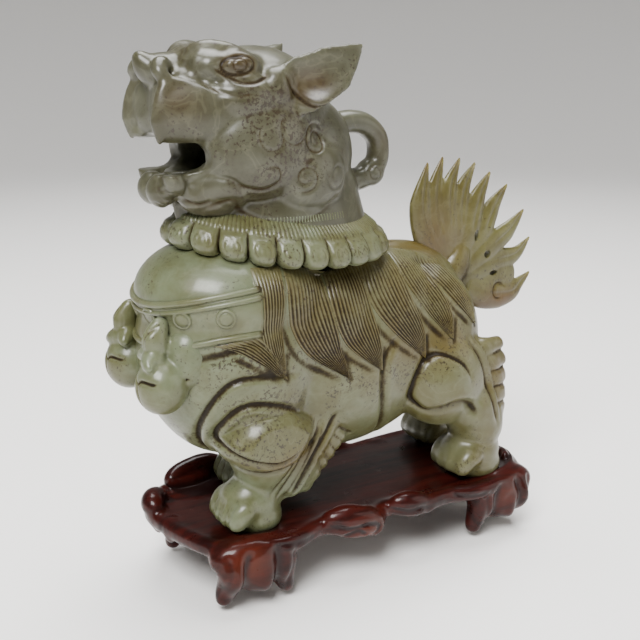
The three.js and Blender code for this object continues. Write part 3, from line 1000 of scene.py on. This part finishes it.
def carve_collar(body_tree):
    bm = bmesh.new()
    section = smooth_line(COLLAR_SECTION + COLLAR_SECTION[:1], 60)[:-1]
    verts = [bm.verts.new((100 + out, 0, up)) for out, up in section]
    edges = [bm.edges.new(pair) for pair in zip(verts, verts[1:] + verts[:1])]
    bmesh.ops.spin(bm, geom=verts + edges, axis=(0, 0, 1), cent=(0, 0, 0), steps=LOBES * 32,
                   angle=2 * pi,
                   use_merge=True)
    collar = Carving(new_mesh(bm, "collar"))
    out = np.hypot(collar.co[:, 0], collar.co[:, 1]) - 100
    up = collar.co[:, 2].copy()
    share = (np.arctan2(collar.co[:, 1], collar.co[:, 0]) / (2 * pi)) % 1.0
    place, outward, length = oval_walk(*COLLAR, share)
    within = (share * LOBES) % 1.0
    round_lobe = np.sqrt(np.clip(1 - (2 * within - 1) ** 2, 0, 1))
    crease = (1 - round_lobe) ** 1.4
    face = np.clip(out / 4, 0, 1)
    skirt = np.clip((10 - up) / 5, 0, 1) * np.clip((out + 8) / 8, 0, 1)
    hem = np.clip((3 - up) / 9, 0, 1)
    comb = (0.5 - 0.5 * np.cos(2 * pi * 6 * within)) ** 2
    upper = np.clip((up - 8) / 3, 0, 1) * np.clip((23 - up) / 3, 0, 1) * np.clip((out + 17) / 4, 0, 1)
    waist = np.exp(-((up - 8.5) / 1.8) ** 2) * np.clip((out + 8) / 8, 0, 1)
    sideways = (within - 0.5) * length / LOBES
    from_ring = np.hypot(sideways, up)
    ring = np.exp(-((from_ring - 4.1) / 0.6) ** 2) * face
    dot = np.exp(-((from_ring - 1.8) / 0.7) ** 2) * face
    out = (out + 1.2 * round_lobe * hem - 6.5 * crease * skirt - 0.85 * comb * upper
           - 1.2 * waist - 0.8 * ring - 0.6 * dot)
    up = up + 5.5 * crease * hem
    # Darkened creases between the lobes and carved combs, waist, rings and dots: dirt plus painted shade.
    crease_dirt_and_shade = 0.9 * np.clip(crease - 0.25, 0,
                         1) * skirt + 0.5 * comb * upper + 0.3 * waist + 0.55 * ring + 0.4 * dot
    collar.cut = np.clip(crease_dirt_and_shade, 0, 1)
    x = SEAT[0] + place[:, 0] + outward[:, 0] * out
    y = place[:, 1] + outward[:, 1] * out
    ends = ((x - SEAT[0]) / 76) ** 2
    z = seat_height(x) + up + 7.0 * ends
    collar.co = np.stack([x, y, z], axis=1)
    low = (up < 10) & (np.hypot((x - SEAT[0]) / 50, y / 36) > 1)
    for index in np.where(low)[0]:
        point = collar.co[index]
        hit, normal, _, _ = body_tree.find_nearest(Vector(point), 15)
        if hit is not None:
            lift = 0.5 - (Vector(point) - hit).dot(normal)
            if lift > 0:
                collar.co[index] = point + np.array(normal) * lift
    collar.shade_folds(1.2)
    collar.warm[:] = 0.18
    collar.grime[:] = 0.25
    return collar


# ---------------------------------------------------------------- tail

# Each flame of the tail: the line it follows in X and Z, and its widths.
FLAMES = [
    ([(84, 186), (65, 204), (57, 230), (63, 262)], [6, 9, 8, 1]),
    ([(85, 187), (73, 210), (69, 238), (76, 265)], [6, 9, 7.5, 1]),
    ([(86, 188), (81, 214), (80, 240), (90, 263.5)], [6, 9, 7.5, 1]),
    ([(88, 188), (90, 214), (92, 238), (104, 259.5)], [6, 9, 7.5, 1]),
    ([(90, 188), (99, 210), (105, 232), (117, 252.5)], [6, 9, 7.5, 1]),
    ([(92, 186), (111, 208), (120, 226), (134, 242.5)], [6, 9, 7.5, 0.8]),
    ([(94, 182), (119, 199), (134, 208), (150, 223.5)], [6, 10, 7.5, 0.8]),
    ([(96, 178), (124, 187), (143, 190), (157.5, 202.5)], [7, 10, 7, 0.8]),
    ([(97, 172), (118, 163), (138, 162), (147, 168), (159, 176.5)], [8, 11, 10, 6, 0.8]),
]
TAIL_HOLES = [((104, 208), 2.2, 4.2), ((113.5, 194), 3.0, 3.0), ((121, 179.5), 3.6, 2.0)]


def carve_tail():
    bm = bmesh.new()
    for k, (line, widths) in enumerate(FLAMES):
        limb(bm, [(x, 0.8 * (k % 2) - 0.4, z) for x, z in line], widths, flat=0.5, blunt=False,
             around=24, along=40)
    ball(bm, (100, 0, 192), (27, 3.6, 25))
    ball(bm, (124, 0, 176), (20, 3.4, 16))
    limb(bm, [(78, 0, 176), (88, 0, 188), (94, 0, 204)], [11, 11, 7], flat=0.85)
    hollow = bmesh.new()
    for (x, z), half_x, half_z in TAIL_HOLES:
        ball(hollow, (x, 0, z), (half_x, 14, half_z))
    tail = Carving(fused(bm, "tail", 0.8, fused(hollow, "tail_holes", 0.5)))
    tail.smooth(3)
    for side in (NEAR, FAR):
        for line, _ in FLAMES:
            tail.groove([(x + 1.5, z + 1.5) for x, z in line[1:]], 1.3, 1.0, side, dirt_and_shade=0.15)
        tail.groove(spiral((126, 165), 7, 0.8, 0.4, 4), 1.2, 1.0, side, dirt_and_shade=0.6)
    tail.shade_folds(1.4)
    tail.patch((126, 0, 158), (22, 20, 9), 0.9)
    tail.patch((70, 0, 205), (22, 20, 26), 0.5)
    for x, z in [line[-1] for line, _ in FLAMES]:
        tail.patch((x, 0, z), (7, 9, 7), 0.5)
    near_root = np.exp(-((tail.co[:, 0] - 92) / 9) ** 2 - ((tail.co[:, 2] - 182) / 16) ** 2)
    tail.cut = np.clip(tail.cut + 0.6 * near_root, 0, 1)
    return tail


# ---------------------------------------------------------------- strap and bells

def cord(bm, path, project, radius, lift):
    """A thin roll laid along a surface."""
    spine = []
    for a, b in smooth_line(path, 24):
        place, normal = project(a, b)
        spine.append(tuple(place + normal * lift))
    limb(bm, spine, [radius, radius], around=14, along=72, face=(0, 0, 1))


STRAP_TOP = [(-86, 203), (-60, 200), (-40, 196.5), (-20, 193), (0, 191.5), (20, 193), (40, 196.5),
             (60, 200), (86, 203)]
STRAP_FOOT = [(-86, 177), (-60, 175), (-40, 171), (-20, 168.5), (0, 167.5), (20, 168.5), (40, 171),
              (60, 175), (86, 177)]
STUDS = [(angle, 184.5 + 0.055 * abs(angle)) for angle in (-62, -36, -12, 12, 36, 62)]


def carve_strap(tree):
    bm = bmesh.new()
    project = chest(tree)
    strip(bm, STRAP_FOOT, STRAP_TOP, project, 1.6, around=40, along=120, crown=14, root=1)
    for path, radius, drop, lift in ((STRAP_TOP, 2.0, 0, 0.6), (STRAP_TOP, 1.5, 4.6, 1.2),
                                     (STRAP_FOOT, 1.9, 0, 0.6)):
        cord(bm, [(a, z - drop) for a, z in path], project, radius, lift)
    strap = Carving(new_mesh(bm, "strap"))
    strap.warm[:] = 0.2
    strap.shade_folds(1.0)
    return strap


def carve_studs(tree):
    bm = bmesh.new()
    project = chest(tree)
    for angle, z in STUDS:
        place, normal = project(angle, z)
        turn = normal.to_track_quat("Z", "Y").to_matrix().to_4x4()
        lathe(bm, [(0, 2.6), (2.8, 2.5), (3.9, 2.1), (4.3, 1.4), (4.9, 2.4), (5.8, 1.9), (6.1, -1.5),
                   (0, -1.5)],
              Matrix.Translation(place) @ turn)
    studs = Carving(new_mesh(bm, "studs"))
    middle = np.zeros(len(studs.co))
    studs.cut = middle
    studs.shade_folds(2.0)
    studs.warm[:] = 0.2
    return studs


def bell_lumps(bm, side):
    """A round bell hung from a bow: a loop above, two pointed wings and the bell below."""
    y = 27 * side
    ball(bm, (-140.5, y, 147), (15.5, 16, 17))
    limb(bm, [(-137, y - 2 * side, 163), (-143, y - side, 173), (-137, y - 3 * side, 187)], [7, 8, 4],
         flat=0.8)
    limb(bm, [(-139, y, 164), (-148, y + 3 * side, 163), (-151, y + 10 * side, 160)], [7, 6, 1.5])
    limb(bm, [(-139, y, 164), (-145, y - 8 * side, 165), (-149, y - 14 * side, 162)], [7, 6, 2])
    ball(bm, (-145, y, 164), (7, 7, 6.5))
    limb(bm, [(-128, y, 180), (-124, y, 165), (-124, y, 142)], [12, 14, 15])


def carve_bells():
    bm = bmesh.new()
    for side in (NEAR, FAR):
        bell_lumps(bm, side)
    bells = Carving(fused(bm, "bells", 0.9))
    bells.smooth(4)
    for side in (NEAR, FAR):
        y = 27 * side
        bells.groove([(y - 13, 152), (y - 4, 153), (y, 150)], 1.0, 1.8, -1, axis=0)
        bells.groove([(y + 12, 157), (y + 4, 153), (y, 150)], 1.0, 1.8, -1, axis=0)
        bells.groove([(y, 150), (y + side, 143), (y, 137)], 1.0, 1.6, -1, axis=0, dirt_and_shade=0.8)
        bells.groove([(y - 2, 184), (y, 176), (y + 1, 169)], 1.4, 1.0, -1, axis=0, dirt_and_shade=0.4)
        bells.patch((-146, y, 142.0), (12, 12, 12), 0.7)
        bells.patch((-142, y, 176.0), (8, 8, 9), 0.4)
    bells.shade_folds(1.6)
    return bells


# ---------------------------------------------------------------- stand

STAND_EDGE = [
    (-134, 4), (-127, -22), (-118, -40), (-98, -53), (-72, -57), (-48, -48), (-19, -55), (6, -46),
    (27, -55), (52, -52), (78, -57), (100, -54), (118, -44), (129, -28), (133, -2), (131, 26),
    (118, 47), (94, 56), (58, 55), (28, 52), (2, 56), (-28, 50), (-58, 56), (-88, 60),
    (-114, 56), (-128, 44), (-136, 26), (-134, 4),
]
DISH = SOLE - 0.3
FRONT_TOES = [(-113, 42), (-92, 48), (-70, 45)]
REAR_TOES = [(79, 43), (104, 44), (119, 34)]


def root_foot(bm, side, crown, toes):
    """A fluted bundle of roots that spreads into toes on the floor."""
    x0, y0 = crown
    ball(bm, (x0, y0 * side, 36), (30, 15, 14))
    ball(bm, (x0, (y0 + 2) * side, 26), (20, 11, 15))
    for k, (x, y) in enumerate(toes):
        spread = x - x0
        if k == 1:
            limb(bm, [(x, y0 * side, 36), (x + 3, (y0 + 5) * side, 24), (x + 2, (y0 + 7) * side, 11)],
                 [15, 11, 6],
                 around=20)
        else:
            limb(bm, [(x0 + 0.75 * spread, (y0 + 1) * side, 40),
                      (x0 + 0.7 * spread, (y0 + 4) * side, 27),
                      (x0 + 0.9 * spread, y * side, 13), (x0 + 1.06 * spread, (y + 1) * side, 3.5)],
                      [15, 12, 7.5, 4.6],
                 around=20)


def rough_stand():
    bm = bmesh.new()
    edge = smooth_line(STAND_EDGE, 160)[:-1]
    face = bm.faces.new([bm.verts.new((x, y, 38)) for x, y in edge])
    raised = bmesh.ops.extrude_face_region(bm, geom=[face])
    verts = [v for v in raised["geom"] if isinstance(v, bmesh.types.BMVert)]
    bmesh.ops.translate(bm, vec=(0, 0, 8), verts=verts)
    inner = [(x * 0.965, y * 0.93, 41) for x, y in STAND_EDGE]
    limb(bm, inner, [6, 6], around=16, along=260, face=(0, 0, 1), blunt=False)
    limb(bm, [(-112, 44, 48), (-107, 49, 53), (-96, 52, 56), (-80, 53, 57), (-64, 52, 50)],
         [6, 6, 6, 6, 5], around=18)
    limb(bm, [(-112, 44, 42), (-98, 50, 46), (-76, 52, 46)], [8, 10, 8], around=18)
    limb(bm, [(-118, 34, 46), (-128, 30, 50), (-132, 22, 49), (-127, 16, 45)], [6, 7.5, 8, 6], around=18)
    limb(bm, [(-126, 20, 46), (-130, 17, 38), (-131, 15, 31)], [8, 6, 2.4], around=16)
    limb(bm, [(-124, 6, 46), (-129, 0, 38), (-129, -3, 32)], [8, 6, 2.4], around=16)
    for side in (NEAR, FAR):
        limb(bm, [(102, 42 * side, 43), (112, 36 * side, 46), (120, 25 * side, 47), (123, 6 * side, 45)],
             [5, 6, 6, 5],
             around=18)
        ball(bm, (108, 38 * side, 31), (16, 13, 20))
        ball(bm, (118, 26 * side, 32), (10, 17, 18))
        limb(bm, [(118, 28 * side, 28), (122, 22 * side, 14), (124, 21 * side, 6)], [10, 6, 4],
             around=18)
        limb(bm, [(-46, 45 * side, 44), (-28, 49 * side, 43), (-10, 51 * side, 38),
                  (-16, 51 * side, 31)],
             [7, 11, 11, 6], around=20, flat=0.8)
        ball(bm, (-18, 48 * side, 38), (20, 9, 9))
        limb(bm, [(4, 47 * side, 45), (18, 50 * side, 44), (31, 51 * side, 40), (28, 51 * side, 35)],
             [5, 9, 9, 5],
             around=20, flat=0.8)
        ball(bm, (56, 47 * side, 41), (16, 8, 6))
        root_foot(bm, side, (-92, 43), FRONT_TOES)
        root_foot(bm, side, (101, 41), REAR_TOES)
    return fused(bm, "stand", 1.3)


def carve_stand():
    stand = Carving(rough_stand())
    stand.smooth(9)
    edge = smooth_line(STAND_EDGE, 240)
    flat = stand.co[:, :2]
    away = np.full(len(flat), 1e9)
    for point in edge:
        away = np.minimum(away, np.linalg.norm(flat - point, axis=1))
    inside = (np.abs(flat[:, 0]) < 128) & (away > 5)
    top = (stand.co[:, 2] > 40) & inside & (stand.normals()[:, 2] > -0.2)
    dish = DISH + 4.0 * np.exp(-((away - 4) / 9) ** 2)
    sink = top & (stand.co[:, 2] > dish) & (stand.co[:, 2] < 52)
    stand.co[sink, 2] = dish[sink]
    for side in (NEAR, FAR):
        for crown, toes in (((-92, 43), FRONT_TOES), ((101, 41), REAR_TOES)):
            for (x1, _), (x2, _) in zip(toes, toes[1:]):
                middle = (x1 + x2) / 2
                stand.groove([(crown[0] * 0.3 + middle * 0.7, 44), (middle, 34), (middle, 22),
                              (middle, 12)], 3.4, 3.2, side,
                             dirt_and_shade=0.6)
                outer = 2 * middle - crown[0]
                stand.groove([(outer, 42), (outer, 32), (outer * 1.02, 22), (outer * 1.05, 12)], 2.0,
                             1.6, side, dirt_and_shade=0.4)
        stand.groove([(-44, 44), (-30, 40), (-16, 41), (-8, 37), (-12, 31)], 2.0, 2.4, side)
        stand.groove([(-34, 34), (-24, 37), (-18, 33)], 1.8, 1.8, side)
        stand.groove([(4, 44), (16, 41), (26, 42), (34, 38)], 1.8, 2.0, side)
        stand.groove([(-86, 44), (-66, 42), (-52, 40)], 2.2, 1.6, side)
        stand.groove([(52, 44), (66, 40), (80, 40)], 2.2, 1.6, side)
        stand.patch((-100, 52.0 * side, 34), (14, 14, 12), 0.8)
        stand.patch((-16, 52.0 * side, 38), (12, 10, 8), 0.8)
        stand.patch((100, 52.0 * side, 34), (12, 12, 10), 0.5)
    stand.smooth(2)
    stand.co[:, 2] = np.maximum(stand.co[:, 2], 0)
    stand.shade_folds(1.0)
    stand.warm = np.clip(stand.warm, 0, 1)
    stand.grime[sink] = 1.0
    return stand


# ---------------------------------------------------------------- build

body = carve_body()
body_tree = body.tree()
manes = {side: carve_mane(body_tree, side) for side in (NEAR, FAR)}
strap = carve_strap(body_tree)
studs = carve_studs(body_tree)
head = carve_head()
fringe = carve_fringe(head.tree())
collar = carve_collar(body_tree)

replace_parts(body.piece("lion_body", "lion", "jade", JADE), "body_vessel")
manes[NEAR].piece("mane_near", "lion", "jade", JADE)
manes[FAR].piece("mane_far", "lion", "jade", JADE)
strap.piece("chest_strap", "lion", "jade", JADE)
studs.piece("strap_studs", "lion", "jade", JADE)
carve_bells().piece("bells", "lion", "jade", JADE)
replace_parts(head.piece("head", "head", "jade", SHADED_HEAD_JADE), "head_lid")
fringe.piece("neck_fringe", "head", "jade", JADE)
collar.piece("collar", "head", "jade", JADE)
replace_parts(carve_tail().piece("tail", "lion", "tail_jade", TAIL_JADE), "tail_fan")
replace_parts(carve_stand().piece("root_stand", "stand", "rosewood", ROSEWOOD), "stand_top",
            "stand_foot_front_near",
            "stand_foot_front_far", "stand_foot_rear_near", "stand_foot_rear_far")


# ---------------------------------------------------------------- surroundings

def build_floor():
    """A pale floor that curves up far behind the object, so that no horizon shows."""
    bm = bmesh.new()
    bmesh.ops.create_grid(bm, x_segments=72, y_segments=72, size=6)
    for v in bm.verts:
        v.co.z = 0.3 * max(0.0, v.co.xy.length - 2.2) ** 2
    mesh = bpy.data.meshes.new("floor")
    bm.to_mesh(mesh)
    bm.free()
    mesh.polygons.foreach_set("use_smooth", [True] * len(mesh.polygons))
    floor = bpy.data.objects.new("floor", mesh)
    material, _, shader = new_material("pale_floor", (0.8, 0.8, 0.78))
    shader.inputs["Base Color"].default_value = (0.9, 0.885, 0.86, 1)
    shader.inputs["Roughness"].default_value = 0.7
    mesh.materials.append(material)
    bpy.context.scene.collection.objects.link(floor)


def add_light(name, position, target, size, power, colour=(1, 1, 1)):
    light = bpy.data.objects.new(name, bpy.data.lights.new(name, "AREA"))
    light.data.size = size
    light.data.energy = power
    light.data.color = colour
    light.location = position
    light.rotation_euler = (Vector(target) - Vector(position)).to_track_quat("-Z", "Y").to_euler()
    bpy.context.scene.collection.objects.link(light)


def build_studio():
    middle = (0, 0, 0.16)
    add_light("key", (-0.9, -0.8, 1.5), middle, 0.8, 62)
    add_light("overhead", (0.2, 0.3, 1.9), middle, 1.3, 66)
    add_light("fill", (1.3, -1.1, 0.7), middle, 1.2, 9, (1, 0.97, 0.92))
    world = bpy.data.worlds.new("studio")
    world.use_nodes = True
    world.node_tree.nodes["Background"].inputs["Color"].default_value = (0.88, 0.89, 0.9, 1)
    world.node_tree.nodes["Background"].inputs["Strength"].default_value = 0.22
    bpy.context.scene.world = world


build_floor()
build_studio()
